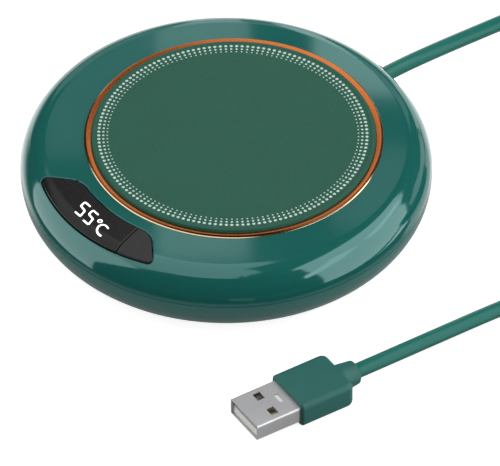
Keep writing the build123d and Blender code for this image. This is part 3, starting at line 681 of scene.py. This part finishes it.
def makeNumber(number, material):
    vertices, faces = [], []
    for place in number["digitPlaces"]:
        strokeMesh(vertices, faces, glyphLine(number["digit"], place), number["strokeWidth"])
    strokeMesh(vertices, faces, glyphLine(number["letter"]), number["strokeWidth"])
    x, y = number["degreePlace"]
    circle = [((x + number["degreeRadius"] * math.cos(math.radians(turn))) * mm,
               (y + number["degreeRadius"] * math.sin(math.radians(turn))) * mm)
              for turn in range(0, 360, number["degreeStep"])]
    strokeMesh(vertices, faces, circle, number["degreeWidth"], closed=True)
    piece = meshPiece("litNumber", vertices, faces, material, "casing")


litLook = {
    "colour": (0.9, 0.92, 0.94),
    "brightest": (1.0, 1.0, 1.0),
    "grainScale": 2500.0,
    "evenness": 0.94,           # least share of the brightest colour
    "glow": 1.1,
    "rough": 0.5,
}


def makeLitMaterial(look):
    material = bpy.data.materials.new("litWhite")
    material.use_nodes = True
    tree = material.node_tree
    shader = tree.nodes["Principled BSDF"]
    glow = useGroup(tree, grainGroup, Scale=look["grainScale"], Low=look["evenness"], High=1.0)
    colour = mixColour(tree, glow.outputs["Value"], look["colour"], look["brightest"])
    tree.links.new(colour, shader.inputs["Base Color"])
    tree.links.new(colour, shader.inputs["Emission Color"])
    shader.inputs["Emission Strength"].default_value = look["glow"]
    shader.inputs["Roughness"].default_value = look["rough"]
    return material


makeNumber(litNumber, makeLitMaterial(litLook))
print("stage: display finished")


# cord jacket, plug grip and steel shell
jacketLook = {
    "colour": (0.013, 0.13, 0.105),
    "shade": (0.012, 0.122, 0.098),
    "glint": (0.8, 1.0, 0.98),
    "ior": 1.28,
    "rough": (0.16, 0.22),
    "grainScale": 3500.0,
    "relief": 0.08,
    "dust": 0.01,
}
gripLook = dict(jacketLook, colour=(0.014, 0.1, 0.086), shade=(0.013, 0.094, 0.08), ior=1.4,
                rough=(0.4, 0.5))
collarLook = dict(jacketLook, colour=(0.008, 0.035, 0.03), shade=(0.009, 0.04, 0.034), rough=(0.4, 0.5))
jacket = makeFinish("cordJacket", jacketLook)
cordPiece.data.materials.append(jacket)
dress(jacket, "cord_tail")
dress(makeFinish("plugGrip", gripLook), "plug_overmold")
dress(makeFinish("cordCollar", collarLook), "cord_grommet")

shellLook = {
    "colour": (0.56, 0.56, 0.57),
    "shade": (0.5, 0.5, 0.51),
    "rough": (0.4, 0.48),
    "grainScale": 1200.0,
    "grainDetail": 5.0,
    "stretch": (0.06, 1.0, 1.0),
    "turn": (0.0, 0.0, math.radians(-81.1)),
    "relief": 0.06,
    "metal": 1.0,
    "edge": (0.85, 0.85, 0.85),
    "edgeRadius": 0.15 * mm,
}
dress(makeFinish("plugSteel", shellLook), "plug_shell")
print("stage: cord and plug finished")


# feet and the pieces inside
innerLooks = {
    "footRubber": (("rubber_feet",), {
        "colour": (0.02, 0.02, 0.02), "shade": (0.028, 0.028, 0.027), "rough": (0.75, 0.92),
        "grainScale": 4200.0, "relief": 0.35, "dust": 0.05}),
    "zincSteel": (("housing_screws", "retainer_screws", "board_screws", "clamp_screws", "switch_dome"), {
        "colour": (0.6, 0.6, 0.62), "shade": (0.5, 0.51, 0.54), "rough": (0.25, 0.42), "metal": 1.0,
        "grainScale": 2600.0, "relief": 0.1, "edge": (0.8, 0.8, 0.8)}),
    "sheetAluminium": (("heat_spreader", "filter_capacitor"), {
        "colour": (0.75, 0.76, 0.78), "shade": (0.68, 0.69, 0.71), "rough": (0.3, 0.5), "metal": 1.0,
        "grainScale": 1500.0, "stretch": (0.05, 1.0, 1.0), "relief": 0.1}),
    "heaterFilm": (("heater_element",), {
        "colour": (0.5, 0.2, 0.03), "shade": (0.4, 0.15, 0.02), "rough": (0.2, 0.35),
        "grainScale": 900.0, "relief": 0.08}),
    "fibrePad": (("insulation_pad",), {
        "colour": (0.75, 0.73, 0.68), "shade": (0.62, 0.6, 0.55), "rough": (0.85, 1.0),
        "grainScale": 2200.0, "stretch": (1.0, 0.25, 1.0), "relief": 0.6}),
    "innerMoulding": (("plate_retainer", "cord_clamp"), {
        "colour": (0.03, 0.03, 0.032), "shade": (0.04, 0.04, 0.042), "rough": (0.45, 0.6),
        "grainScale": 2600.0, "relief": 0.15, "edge": (0.08, 0.08, 0.08)}),
    "sensorResin": (("temperature_sensor",), {
        "colour": (0.03, 0.03, 0.05), "shade": (0.05, 0.05, 0.07), "rough": (0.15, 0.3),
        "grainScale": 1800.0, "relief": 0.1}),
    "displayBlock": (("display_module",), {
        "colour": (0.02, 0.02, 0.021), "shade": (0.03, 0.03, 0.031), "rough": (0.5, 0.65),
        "grainScale": 3000.0, "relief": 0.1}),
    "componentBlack": (("switch_body", "switch_plunger", "control_chip", "power_transistor",
                        "board_resistors"), {
        "colour": (0.016, 0.016, 0.017), "shade": (0.028, 0.028, 0.03), "rough": (0.45, 0.7),
        "grainScale": 5000.0, "relief": 0.2, "edge": (0.07, 0.07, 0.07)}),
    "boardLaminate": (("control_board",), {
        "colour": (0.012, 0.09, 0.035), "shade": (0.02, 0.13, 0.05), "rough": (0.22, 0.36),
        "grainScale": 1700.0, "stretch": (1.0, 0.1, 1.0), "relief": 0.06}),
    "whiteMoulding": (("lead_connectors", "plug_insulator"), {
        "colour": (0.78, 0.78, 0.75), "shade": (0.7, 0.7, 0.67), "rough": (0.35, 0.5),
        "grainScale": 2800.0, "relief": 0.08}),
    "leadInsulation": (("heater_leads", "sensor_leads", "power_leads"), {
        "colour": (0.45, 0.03, 0.025), "shade": (0.36, 0.02, 0.02), "rough": (0.35, 0.5),
        "grainScale": 3000.0, "relief": 0.1}),
    "goldContact": (("plug_contacts",), {
        "colour": (0.83, 0.6, 0.25), "shade": (0.75, 0.52, 0.2), "rough": (0.18, 0.32), "metal": 1.0,
        "grainScale": 2500.0, "relief": 0.05}),
    "tieBlack": (("coil_tie",), {
        "colour": (0.015, 0.015, 0.016), "shade": (0.025, 0.025, 0.026), "rough": (0.45, 0.6),
        "grainScale": 3800.0, "relief": 0.3}),
}
for finishName, (members, look) in innerLooks.items():
    dress(makeFinish(finishName, look), *members)
print("stage: inner pieces finished")


# pale floor that looks white to the camera
floorSetup = {
    "radius": 4.0,
    "height": -0.02 * mm,       # just under the feet
    "sides": 96,
    "colour": (0.42, 0.42, 0.42),
    "shade": (0.4137, 0.4137, 0.4137),
    "grainScale": 60.0,
    "seenFill": 0.86,           # lifts the floor the camera sees to white and leaves a faint shadow
    "mirroredFill": 0.1,        # the same for the floor seen in glossy pieces
    "steepFrom": 0.3,           # a mirrored ray shallower than this passes through the floor
    "steepTo": 0.42,
}


def seenBy(tree, *rays):
    path = tree.nodes.new("ShaderNodeLightPath")
    total = path.outputs[rays[0]]
    for ray in rays[1:]:
        total = calculate(tree, total, path.outputs[ray])
    return total


def makeFloor(setup):
    count = setup["sides"]
    rim = [(setup["radius"] * math.cos(2 * math.pi * k / count),
            setup["radius"] * math.sin(2 * math.pi * k / count), setup["height"]) for k in range(count)]
    mesh = bpy.data.meshes.new("studioFloor")
    mesh.from_pydata(rim, [], [tuple(range(count))])
    floor = bpy.data.objects.new("studioFloor", mesh)
    bpy.context.scene.collection.objects.link(floor)
    material = bpy.data.materials.new("studioFloor")
    material.use_nodes = True
    tree = material.node_tree
    tree.nodes.clear()
    link = tree.links.new
    diffuse = tree.nodes.new("ShaderNodeBsdfDiffuse")
    grain = useGroup(tree, grainGroup, Scale=setup["grainScale"], Low=0.0, High=1.0)
    colour = mixColour(tree, grain.outputs["Value"], setup["colour"], setup["shade"])
    link(colour, diffuse.inputs[0])
    mirrored = seenBy(tree, "Is Glossy Ray", "Is Transmission Ray")
    seenFill = calculate(tree, seenBy(tree, "Is Camera Ray"), setup["seenFill"], "MULTIPLY")
    mirroredFill = calculate(tree, mirrored, setup["mirroredFill"], "MULTIPLY")
    glow = tree.nodes.new("ShaderNodeEmission")
    link(calculate(tree, seenFill, mirroredFill), glow.inputs["Strength"])
    total = tree.nodes.new("ShaderNodeAddShader")
    link(diffuse.outputs[0], total.inputs[0])
    link(glow.outputs[0], total.inputs[1])
    slant = addNode(tree, "ShaderNodeLayerWeight", Blend=0.5)
    shallow = addNode(tree, "ShaderNodeMapRange")
    shallow.inputs["From Min"].default_value = setup["steepFrom"]
    shallow.inputs["From Max"].default_value = setup["steepTo"]
    link(slant.outputs["Facing"], shallow.inputs["Value"])
    clear = tree.nodes.new("ShaderNodeBsdfTransparent")
    pick = tree.nodes.new("ShaderNodeMixShader")
    output = tree.nodes.new("ShaderNodeOutputMaterial")
    link(calculate(tree, seenBy(tree, "Is Glossy Ray"), shallow.outputs[0], "MULTIPLY"), pick.inputs[0])
    link(total.outputs[0], pick.inputs[1])
    link(clear.outputs[0], pick.inputs[2])
    link(pick.outputs[0], output.inputs[0])
    mesh.materials.append(material)


makeFloor(floorSetup)


# white where it is seen, dim all round for the light, and a glow behind the casing for what it mirrors
backdropSetup = {
    "ambient": 0.16,
    "mirroredAmbient": 0.03,
    "middle": (138.5, -35.0),   # azimuth and elevation
    "from": 0.62,               # cosine of the angle from the middle where the glow fades in
    "to": 0.87,
    "glow": 1.6,
}


def makeWorld(setup):
    world = bpy.data.worlds.new("studio")
    world.use_nodes = True
    tree = world.node_tree
    tree.nodes.clear()
    link = tree.links.new
    place = tree.nodes.new("ShaderNodeTexCoord")
    facing = addNode(tree, "ShaderNodeVectorMath", operation="DOT_PRODUCT")
    facing.inputs[1].default_value = outwardTo(*setup["middle"])
    fade = addNode(tree, "ShaderNodeMapRange", interpolation_type="SMOOTHSTEP")
    for title, value in (("From Min", setup["from"]), ("From Max", setup["to"]),
                         ("To Min", setup["mirroredAmbient"]), ("To Max", setup["glow"])):
        fade.inputs[title].default_value = value
    link(place.outputs["Generated"], facing.inputs[0])
    link(facing.outputs["Value"], fade.inputs["Value"])
    mirrored = calculate(tree, seenBy(tree, "Is Glossy Ray"), fade.outputs[0], "MULTIPLY", clamp=False)
    dim = calculate(tree, seenBy(tree, "Is Diffuse Ray"), setup["ambient"], "MULTIPLY")
    seen = calculate(tree, seenBy(tree, "Is Camera Ray", "Is Transmission Ray"), dim)
    total = calculate(tree, seen, mirrored, clamp=False)
    around = addNode(tree, "ShaderNodeBackground", Color=(1, 1, 1, 1))
    output = tree.nodes.new("ShaderNodeOutputWorld")
    link(total, around.inputs["Strength"])
    link(around.outputs[0], output.inputs[0])
    bpy.context.scene.world = world


makeWorld(backdropSetup)


# sheets of light round the casing, which its gloss mirrors
panelSetup = {
    "grainScale": 6.0,
    "evenness": 0.97,           # least share of a panel's radiance
    "panels": (
        # distance, radiance, and azimuth and elevation of each corner seen from the casing
        ("overPanel", 0.65, 1.45, ((138, 47), (120, 70), (90, 85), (0, 79), (345, 63), (330, 52), (315, 47),
                                   (300, 42), (285, 35), (270, 29), (240, 33), (200, 38), (165, 44))),
        ("leftPanel", 0.7, 2.2, ((199, 20), (200, 13), (203, -20), (245, -31), (252, -5), (264, 17),
                                 (272, 28), (240, 33))),
        ("rightPanel", 0.7, 2.7, ((359, 48), (359, 34), (5, 8), (9, -26), (62, -18), (62, 0), (66, 25),
                                  (82, 38), (102, 49), (68, 61))),
        ("crestPanel", 0.5, 3.9, ((357, 18), (15, 30), (45, 37), (78, 42), (70, 33), (45, 28), (15, 21),
                                  (357, 9))),
        ("sideGlow", 0.8, 0.9, ((66, 6), (66, -36), (100, -36), (100, 10))),
        ("backRight", 0.88, 1.4, ((102, 12), (102, -32), (116, -32), (116, 12))),
        ("backLeft", 0.88, 1.4, ((146, 12), (146, -32), (160, -32), (160, 4))),
        ("backUpper", 0.9, 0.6, ((146, 38), (116, 36), (112, 22), (160, 14), (160, 28))),
    ),
}


def makePanels(setup):
    for name, distance, radiance, corners in setup["panels"]:
        mesh = bpy.data.meshes.new(name)
        spots = [outwardTo(*corner) * distance for corner in corners]
        mesh.from_pydata(spots, [], [tuple(range(len(spots)))])
        panel = bpy.data.objects.new(name, mesh)
        bpy.context.scene.collection.objects.link(panel)
        panel.visible_camera = False
        panel.visible_shadow = False
        material = bpy.data.materials.new(name)
        material.use_nodes = True
        tree = material.node_tree
        tree.nodes.clear()
        cloth = useGroup(tree, grainGroup, Scale=setup["grainScale"], Low=0.0, High=1.0)
        glow = tree.nodes.new("ShaderNodeEmission")
        output = tree.nodes.new("ShaderNodeOutputMaterial")
        least = setup["evenness"] * radiance
        colour = mixColour(tree, cloth.outputs["Value"], (least,) * 3, (radiance,) * 3)
        tree.links.new(colour, glow.inputs["Color"])
        tree.links.new(glow.outputs[0], output.inputs[0])
        mesh.materials.append(material)


makePanels(panelSetup)


# small lamps behind the casing, which its flat rim mirrors
cardSetup = {
    "cards": (
        # azimuth and elevation of the line out to it, distance, shift and size in its plane, radiance
        ("rimCard", 138.5, 42.0, 0.2, (0.0062, -0.05), (0.0237, 0.19), 1.1),
        ("backCard", 138.5, 42.0, 0.2, (-0.034, -0.0516), (0.025, 0.11), 1.8),
        ("leftCard", 138.5, 42.0, 0.2, (0.0325, 0.002), (0.029, 0.034), 0.35),
        ("rightCard", 138.5, 42.0, 0.2, (-0.036, 0.0265), (0.02, 0.021), 0.45),
    ),
}


def makeCards(setup):
    for name, azimuth, elevation, distance, shift, size, radiance in setup["cards"]:
        data = bpy.data.lights.new(name, "AREA")
        data.shape = "RECTANGLE"
        data.size, data.size_y = size
        data.energy = radiance * math.pi * size[0] * size[1]
        lamp = bpy.data.objects.new(name, data)
        bpy.context.scene.collection.objects.link(lamp)
        outward = outwardTo(azimuth, elevation)
        level = Vector((0, 0, 1)).cross(outward).normalized()
        rise = outward.cross(level)
        lamp.rotation_mode = "QUATERNION"
        lamp.rotation_quaternion = Matrix((level, rise, outward)).transposed().to_quaternion()
        lamp.location = outward * distance + level * shift[0] + rise * shift[1]
        lamp.visible_camera = False


makeCards(cardSetup)
bpy.context.scene.view_settings.view_transform = "Standard"
print("stage: studio set")
